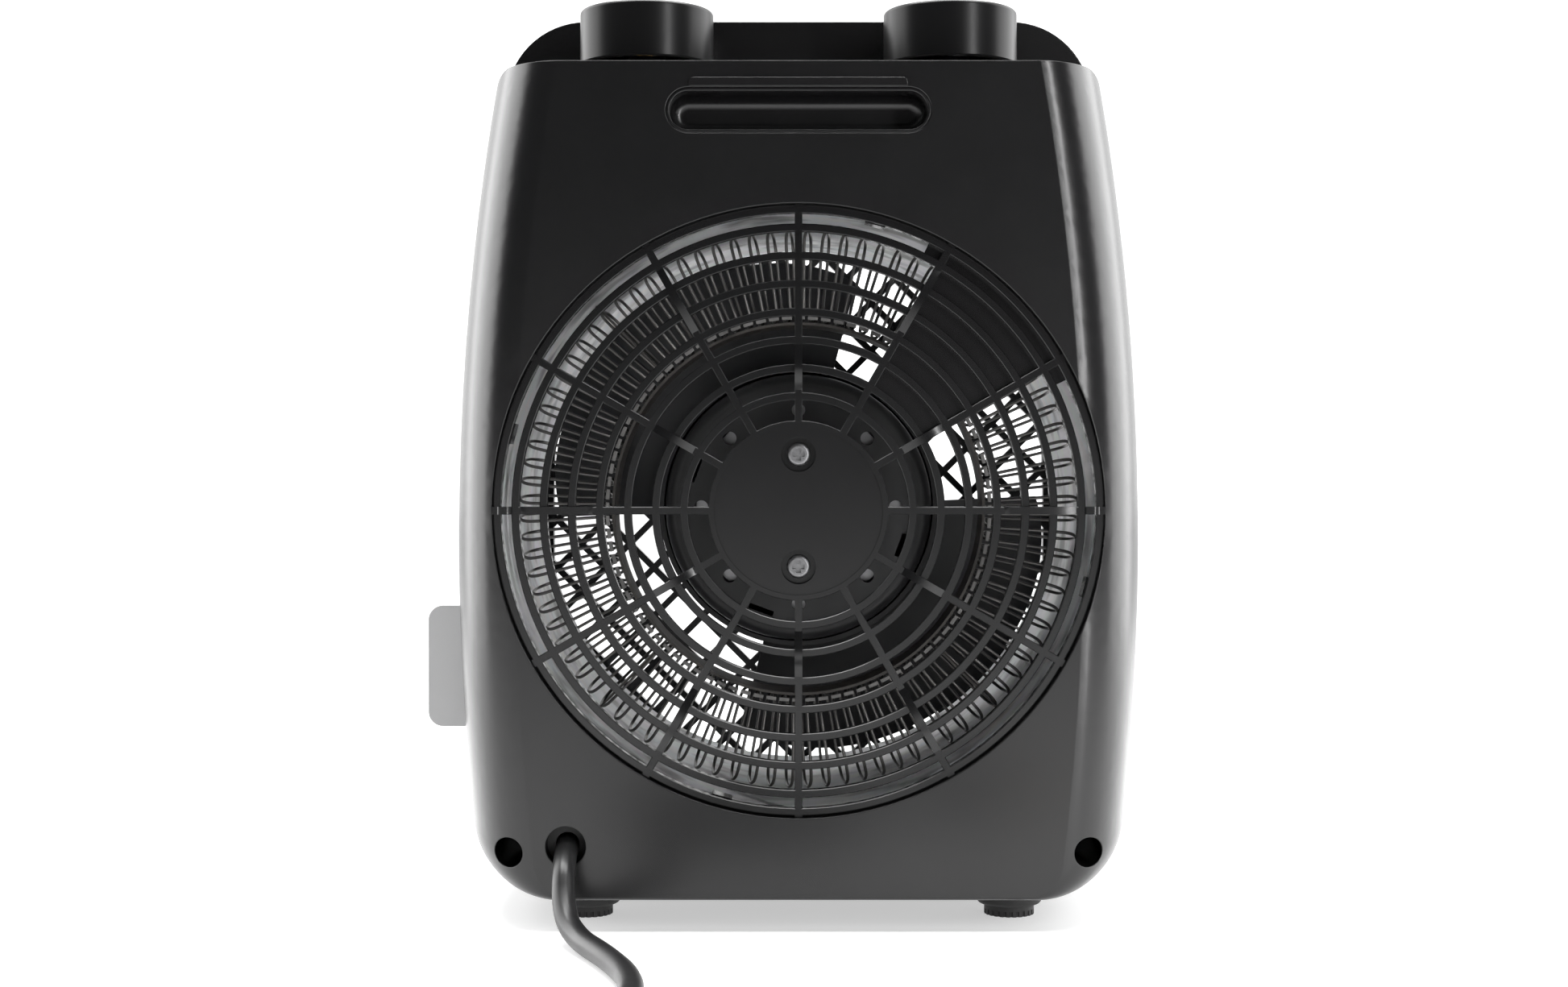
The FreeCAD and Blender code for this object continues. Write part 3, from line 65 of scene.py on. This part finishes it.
def material(
    name,
    colour,
    roughness,
    metallic=0.0,
    scale=60.0,
    colour_spread=0.15,
    rough_spread=0.06,
    bump=0.02,
    bump_scale=900.0,
    coat=0.0,
    specular=0.5,
    edge=0.0,
):
    """A surface whose colour, gloss and grain all vary a little over the piece.

    Where edge is above zero, edges are shaded as if rounded by that radius.
    """
    made = bpy.data.materials.new(name)
    made.use_nodes = True
    tree = made.node_tree
    surface = tree.nodes["Principled BSDF"]
    place = tree.nodes.new("ShaderNodeTexCoord")
    broad = tree.nodes.new("ShaderNodeTexNoise")
    broad.inputs["Scale"].default_value = scale
    broad.inputs["Detail"].default_value = 5.0
    tree.links.new(place.outputs["Object"], broad.inputs["Vector"])
    mix = tree.nodes.new("ShaderNodeMix")
    mix.data_type = "RGBA"
    low = [c * (1.0 - colour_spread) for c in colour]
    high = [c * (1.0 + colour_spread) for c in colour]
    mix.inputs["A"].default_value = (*low, 1.0)
    mix.inputs["B"].default_value = (*high, 1.0)
    tree.links.new(broad.outputs["Fac"], mix.inputs["Factor"])
    tree.links.new(mix.outputs["Result"], surface.inputs["Base Color"])
    gloss = tree.nodes.new("ShaderNodeMapRange")
    gloss.inputs["From Min"].default_value = NOISE_LOW
    gloss.inputs["From Max"].default_value = NOISE_HIGH
    gloss.inputs["To Min"].default_value = roughness - rough_spread
    gloss.inputs["To Max"].default_value = roughness + rough_spread
    tree.links.new(broad.outputs["Fac"], gloss.inputs["Value"])
    tree.links.new(gloss.outputs["Result"], surface.inputs["Roughness"])
    grain = tree.nodes.new("ShaderNodeTexNoise")
    grain.inputs["Scale"].default_value = bump_scale
    grain.inputs["Detail"].default_value = 3.0
    tree.links.new(place.outputs["Object"], grain.inputs["Vector"])
    relief = tree.nodes.new("ShaderNodeBump")
    relief.inputs["Strength"].default_value = bump
    relief.inputs["Distance"].default_value = GRAIN_DEPTH
    tree.links.new(grain.outputs["Fac"], relief.inputs["Height"])
    tree.links.new(relief.outputs["Normal"], surface.inputs["Normal"])
    if edge > 0.0:
        softened = tree.nodes.new("ShaderNodeBevel")
        softened.samples = EDGE_SAMPLES
        softened.inputs["Radius"].default_value = edge
        tree.links.new(softened.outputs["Normal"], relief.inputs["Normal"])
    surface.inputs["Metallic"].default_value = metallic
    surface.inputs["Specular IOR Level"].default_value = specular
    surface.inputs["Coat Weight"].default_value = coat
    surface.inputs["Coat Roughness"].default_value = COAT_ROUGHNESS
    return made


def galvanised(name):
    """Zinc-coated sheet: soft mottled patches of lighter and darker grey."""
    made = material(
        name, (0.5, 0.51, 0.52), 0.55, 0.25, scale=45.0, rough_spread=0.08, bump=0.02
    )
    tree = made.node_tree
    surface = tree.nodes["Principled BSDF"]
    place = tree.nodes.new("ShaderNodeTexCoord")
    patches = tree.nodes.new("ShaderNodeTexVoronoi")
    patches.inputs["Scale"].default_value = 120.0
    cloud = tree.nodes.new("ShaderNodeTexNoise")
    cloud.inputs["Scale"].default_value = 55.0
    cloud.inputs["Detail"].default_value = 2.0
    tree.links.new(place.outputs["Object"], patches.inputs["Vector"])
    tree.links.new(place.outputs["Object"], cloud.inputs["Vector"])
    ramp = tree.nodes.new("ShaderNodeValToRGB")
    dark_stop, light_stop = ramp.color_ramp.elements
    dark_stop.position = 0.32
    dark_stop.color = (0.30, 0.30, 0.305, 1.0)
    light_stop.position = 0.52
    light_stop.color = (0.88, 0.89, 0.90, 1.0)
    tree.links.new(cloud.outputs["Fac"], ramp.inputs["Fac"])
    blend = tree.nodes.new("ShaderNodeMix")
    blend.data_type = "RGBA"
    blend.blend_type = "MULTIPLY"
    blend.inputs["Factor"].default_value = 0.06
    tree.links.new(ramp.outputs["Color"], blend.inputs["A"])
    tree.links.new(patches.outputs["Color"], blend.inputs["B"])
    tree.links.new(blend.outputs["Result"], surface.inputs["Base Color"])
    return made


BLACK = (0.006, 0.006, 0.0063)
case = material(
    "case_black",
    BLACK,
    0.26,
    rough_spread=0.01,
    colour_spread=0.05,
    bump=0.008,
    bump_scale=2200.0,
    edge=0.0005,
)
knob = material(
    "knob_black",
    BLACK,
    0.30,
    rough_spread=0.01,
    colour_spread=0.05,
    bump=0.008,
    bump_scale=2400.0,
    specular=0.2,
)
guard = material(
    "guard_black",
    BLACK,
    0.22,
    rough_spread=0.01,
    colour_spread=0.05,
    bump=0.006,
    bump_scale=1800.0,
    specular=0.42,
)
inner = material("inner_plastic", (0.12, 0.12, 0.125), 0.5, bump=0.05)
pale = material("pale_plastic", (0.72, 0.71, 0.68), 0.5, bump=0.04)
card = material("card", (0.50, 0.50, 0.505), 0.42, bump=0.02, colour_spread=0.03)
amber = material("lens_amber", (0.55, 0.12, 0.02), 0.12, bump=0.0, coat=0.6)
zinc = galvanised("galvanised")
steel = material("steel", (0.42, 0.42, 0.43), 0.34, 1.0, bump=0.04, scale=200.0)
screw_steel = material(
    "screw_steel", (0.22, 0.22, 0.225), 0.42, 0.9, bump=0.08, scale=300.0
)
wire = material(
    "resistance_wire", (0.16, 0.155, 0.15), 0.34, 0.9, scale=400.0, bump=0.05
)
mica = material(
    "mica", (0.055, 0.05, 0.045), 0.55, bump=0.15, scale=150.0, colour_spread=0.3
)
comb_light = material(
    "comb", (0.20, 0.195, 0.19), 0.45, bump=0.1, scale=300.0, colour_spread=0.35
)
fan_black = material(
    "fan_plastic", (0.025, 0.025, 0.026), 0.42, bump=0.05, bump_scale=1500.0
)
copper = material("copper", (0.42, 0.16, 0.07), 0.35, 0.9, bump=0.2, bump_scale=1600.0)
brass = material("brass", (0.62, 0.42, 0.16), 0.3, 1.0, bump=0.04)
rubber = material(
    "rubber_black", (0.022, 0.022, 0.022), 0.6, bump=0.12, bump_scale=1500.0
)
cord_black = material(
    "cord_black", (0.011, 0.011, 0.0115), 0.36, bump=0.03, bump_scale=2600.0
)
ceramic = material("ceramic_white", (0.78, 0.76, 0.72), 0.6, bump=0.05)

by_slot = {
    "case_black": case,
    "knob_black": knob,
    "guard_black": guard,
    "inner_plastic": inner,
    "pale_plastic": pale,
    "card": card,
    "lens_amber": amber,
    "galvanised": zinc,
    "steel": steel,
    "resistance_wire": wire,
    "mica": mica,
    "fan_plastic": fan_black,
    "copper": copper,
    "brass": brass,
    "rubber_black": rubber,
    "cord_black": cord_black,
    "ceramic_white": ceramic,
}


def dress(obj, surface):
    obj.data.materials.clear()
    obj.data.materials.append(surface)


for row in frame["record"]["subparts"]:
    dress(nodes[row["node"]], by_slot[row["material_slot"]])
for name in ("guard_screws", "case_screws", "duct_screws"):
    dress(nodes[name], screw_steel)


# ---- softened edges ---------------------------------------------------------------------
MERGE_DISTANCE = 0.00001
SHARP_DEGREES = 35.0


def round_off(obj, width):
    """Rounds an object's edges a little, so that they catch the light."""
    rounded = obj.modifiers.new("round", "BEVEL")
    rounded.width = width
    rounded.segments = 2
    return rounded


def soften(name, width):
    """Rounds a CAD piece's sharp edges, once its triangles share their corners."""
    obj = nodes[name]
    join = obj.modifiers.new("join", "WELD")
    join.merge_threshold = MERGE_DISTANCE
    rounded = round_off(obj, width)
    rounded.limit_method = "ANGLE"
    rounded.angle_limit = math.radians(SHARP_DEGREES)
    rounded.harden_normals = True


for name, width in (
    ("front_shell", 0.00035),
    ("control_deck", 0.00025),
    ("brow_strip", 0.0002),
    ("grip_cup", 0.00025),
    ("side_tab", 0.0002),
    ("blanking_sheet", 0.00015),
    ("motor_housing", 0.00025),
    ("guard_posts", 0.0002),
    ("fan", 0.0003),
):
    soften(name, width)


# ---- cord -------------------------------------------------------------------------------
CORD_DIAMETER = 0.0066
FLOOR_LINE_Z = 0.00335  # the cord's line where it lies on the floor
LAYER_Z = 0.0042  # the line of the coil's lower layer
ROW = 0.00662  # from one turn to the next
COIL_X = 0.022
COIL_Y = 0.247
COIL_RADIUS = 0.0363  # the middle of the coil's turns
POINTS_PER_TURN = 16
LOWER_TURNS = 4
UPPER_TURNS = 3
POINTS_LEFT_OFF = 3  # where the tail leaves the last turn
CHANGE = 0.2  # share of a turn over which it moves to the next row
PLUG_LINE_Y = COIL_Y + COIL_RADIUS

route = [
    (0.0665, 0.0595, 0.0244),
    (0.0665, 0.0785, 0.0242),
    (0.0656, 0.0905, 0.0085),
    (0.0605, 0.1000, FLOOR_LINE_Z),
    (0.0505, 0.1215, FLOOR_LINE_Z),
    (0.0420, 0.1465, FLOOR_LINE_Z),
    (0.0405, 0.1720, FLOOR_LINE_Z),
    (0.0500, 0.2010, FLOOR_LINE_Z),
    (0.0565, 0.2260, LAYER_Z),
]
rows = [3, 2, 1, 0] + [0, 1, 2]
coil_radii = [COIL_RADIUS + ROW * (row - 1.5) for row in rows]
upper_z = LAYER_Z + ROW
heights = [LAYER_Z] * LOWER_TURNS + [upper_z] * UPPER_TURNS
turns = len(coil_radii)
for step in range(turns * POINTS_PER_TURN - POINTS_LEFT_OFF):
    place = (step + 1.0) / POINTS_PER_TURN
    turn = min(int(place), turns - 1)
    after = min(turn + 1, turns - 1)
    share = max(0.0, (place - turn - (1.0 - CHANGE)) / CHANGE)
    radius = coil_radii[turn] * (1.0 - share) + coil_radii[after] * share
    z = heights[turn] * (1.0 - share) + heights[after] * share
    angle = 2.0 * math.pi * place
    route.append((COIL_X + radius * math.cos(angle), COIL_Y + radius * math.sin(angle), z))
plug_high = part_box("plug_body")[1]
route += [
    (COIL_X - 0.004, PLUG_LINE_Y + ROW * 0.5, upper_z),
    (COIL_X - 0.022, PLUG_LINE_Y + 0.0007, upper_z - 0.0004),
    (plug_high.x + 0.010, PLUG_LINE_Y, 0.0094),
    (plug_high.x - 0.004, PLUG_LINE_Y, 0.0091),
]


def tube(name, points, diameter, closed=False):
    """A round tube on a smooth line through near the points."""
    line = bpy.data.curves.new(name, "CURVE")
    line.dimensions = "3D"
    line.bevel_depth = diameter / 2.0
    line.bevel_resolution = 6
    line.resolution_u = 8
    line.use_fill_caps = not closed
    spline = line.splines.new("NURBS")
    spline.points.add(len(points) - 1)
    for spot, point in zip(spline.points, points):
        spot.co = (*point, 1.0)
    spline.order_u = 3
    spline.use_endpoint_u = not closed
    spline.use_cyclic_u = closed
    made = bpy.data.objects.new(name, line)
    bpy.context.scene.collection.objects.link(made)
    return made


flex = tube("mains_cord", route, CORD_DIAMETER)
dress(flex, cord_black)
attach(flex, "base")
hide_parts("cord_line", "cord_coil", "cord_tail")


# ---- heating wire -----------------------------------------------------------------------
def about(radius, degrees, y):
    """A point about the fan axis; angles run clockwise from the top, seen from the rear."""
    turn = math.radians(degrees)
    return (-radius * math.sin(turn), y, AXIS_Z + radius * math.cos(turn))


WIRE_TURNS = 92
WIRE_DIAMETER = 0.00095
WANDER_SHARE = 0.12
pitch = 360.0 / WIRE_TURNS
winding = []
for loop in range(WIRE_TURNS):
    middle = (loop + 0.5) * pitch
    # each loop leans a little differently from its neighbours
    wander = 0.35 * math.sin(loop * 2.4) + 0.2 * math.sin(loop * 5.1)
    lean = 1.0 + WANDER_SHARE * wander
    # radius, place along the pitch, y
    for radius, share, y in (
        (0.0568, -0.08, 0.0450),
        (0.0640, -0.14, 0.0462),
        (0.0780, -0.20, 0.0462),
        (0.0822, -0.17, 0.0458),
        (0.0836, 0.00, 0.0440),
        (0.0834, 0.08, 0.0400),
        (0.0826, 0.16, 0.0350),
        (0.0780, 0.22, 0.0322),
        (0.0640, 0.24, 0.0316),
        (0.0568, 0.34, 0.0316),
        (0.0562, 0.60, 0.0360),
    ):
        winding.append(about(radius, middle + pitch * share * lean, y))
element = tube("element_winding", winding, WIRE_DIAMETER, closed=True)
element.data.bevel_resolution = 2
element.data.resolution_u = 3
dress(element, wire)
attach(element, "base")
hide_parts("heating_wire")


# ---- notched rim of the mica ring --------------------------------------------------------
COMB_EDGE = 0.00015
BOX_FACES = (
    (0, 1, 3, 2),
    (4, 6, 7, 5),
    (0, 4, 5, 1),
    (2, 3, 7, 6),
    (0, 2, 6, 4),
    (1, 5, 7, 3),
)


def blocks(name, radius, y, size, count, shift):
    """A ring of small blocks about the fan axis: size is along, across and deep."""
    along, across, deep = size
    half_turn = 0.5 * along / radius
    corners = []
    faces = []
    for index in range(count):
        middle = math.radians((index + shift) * 360.0 / count)
        first = len(corners)
        for turn in (middle - half_turn, middle + half_turn):
            for reach in (radius - 0.5 * across, radius + 0.5 * across):
                for depth in (y, y + deep):
                    x = -reach * math.sin(turn)
                    corners.append((x, depth, AXIS_Z + reach * math.cos(turn)))
        for face in BOX_FACES:
            faces.append([first + corner for corner in face])
    mesh = bpy.data.meshes.new(name)
    mesh.from_pydata(corners, [], faces)
    mesh.validate()
    made = bpy.data.objects.new(name, mesh)
    bpy.context.scene.collection.objects.link(made)
    round_off(made, COMB_EDGE)
    return made


combs = blocks("element_combs", 0.0571, 0.0452, (0.0030, 0.0011, 0.0012), WIRE_TURNS, 0.1)
dress(combs, comb_light)
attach(combs, "base")


# ---- studio -----------------------------------------------------------------------------
FLOOR_HALF = 6.0
FLOOR_GLOW = 0.5
WHITE = (1.0, 1.0, 1.0, 1.0)
LENS_MM = 49.8746
SENSOR_MM = 36.0
SHIFT_X = -0.00925
SHIFT_Y = -0.0167


def panel(name, centre, size, towards, strength):
    """A rectangular lamp, aimed at a point."""
    light = bpy.data.lights.new(name, "AREA")
    light.shape = "RECTANGLE"
    light.size = size[0]
    light.size_y = size[1]
    light.energy = strength
    made = bpy.data.objects.new(name, light)
    made.location = centre
    way = Vector(towards) - Vector(centre)
    made.rotation_euler = way.to_track_quat("-Z", "Y").to_euler()
    bpy.context.scene.collection.objects.link(made)


floor_mesh = bpy.data.meshes.new("floor")
floor_corners = [
    (FLOOR_HALF * x, FLOOR_HALF * y, 0.0) for x, y in ((-1, -1), (1, -1), (1, 1), (-1, 1))
]
floor_mesh.from_pydata(floor_corners, [], [(0, 1, 2, 3)])
floor = bpy.data.objects.new("floor", floor_mesh)
bpy.context.scene.collection.objects.link(floor)
paper = material("paper", (0.62, 0.62, 0.62), 0.8, scale=3.0, colour_spread=0.01, bump=0.01)
glow = paper.node_tree.nodes["Principled BSDF"]
glow.inputs["Emission Color"].default_value = WHITE
glow.inputs["Emission Strength"].default_value = FLOOR_GLOW
dress(floor, paper)

# bright behind the heater, dark behind the camera
world = bpy.data.worlds.new("studio")
bpy.context.scene.world = world
world.use_nodes = True
tree = world.node_tree
backdrop = tree.nodes["Background"]
where = tree.nodes.new("ShaderNodeTexCoord")
split = tree.nodes.new("ShaderNodeSeparateXYZ")
tree.links.new(where.outputs["Generated"], split.inputs["Vector"])
fall = tree.nodes.new("ShaderNodeMapRange")
fall.inputs["From Min"].default_value = -0.05
fall.inputs["From Max"].default_value = 0.16
fall.inputs["To Min"].default_value = 1.6
fall.inputs["To Max"].default_value = 0.006
tree.links.new(split.outputs["Y"], fall.inputs["Value"])
tree.links.new(fall.outputs["Result"], backdrop.inputs["Strength"])
backdrop.inputs["Color"].default_value = WHITE

panel("left_box", (0.75, -0.26, 0.35), (0.8, 1.0), (0.0, -0.1, 0.13), 7.5)
panel("right_box", (-0.75, -0.26, 0.35), (0.8, 1.0), (0.0, -0.1, 0.13), 7.5)
panel("strip_box", (-0.52, 0.72, 0.30), (0.05, 0.9), (0.0, 0.0, 0.14), 5.0)
panel("top_box", (0.0, -0.05, 1.1), (1.0, 0.6), (0.0, -0.02, 0.2), 28.0)

eye = bpy.data.cameras.new("camera")
eye.sensor_width = SENSOR_MM
eye.lens = LENS_MM
eye.shift_x = SHIFT_X
eye.shift_y = SHIFT_Y
eye.clip_start = 0.01
camera = bpy.data.objects.new("camera", eye)
camera.location = (0.0, 0.695, 0.1327)
camera.rotation_euler = (math.radians(90.0), 0.0, math.radians(180.0))
bpy.context.scene.collection.objects.link(camera)
bpy.context.scene.camera = camera
bpy.context.scene.view_settings.view_transform = "Standard"

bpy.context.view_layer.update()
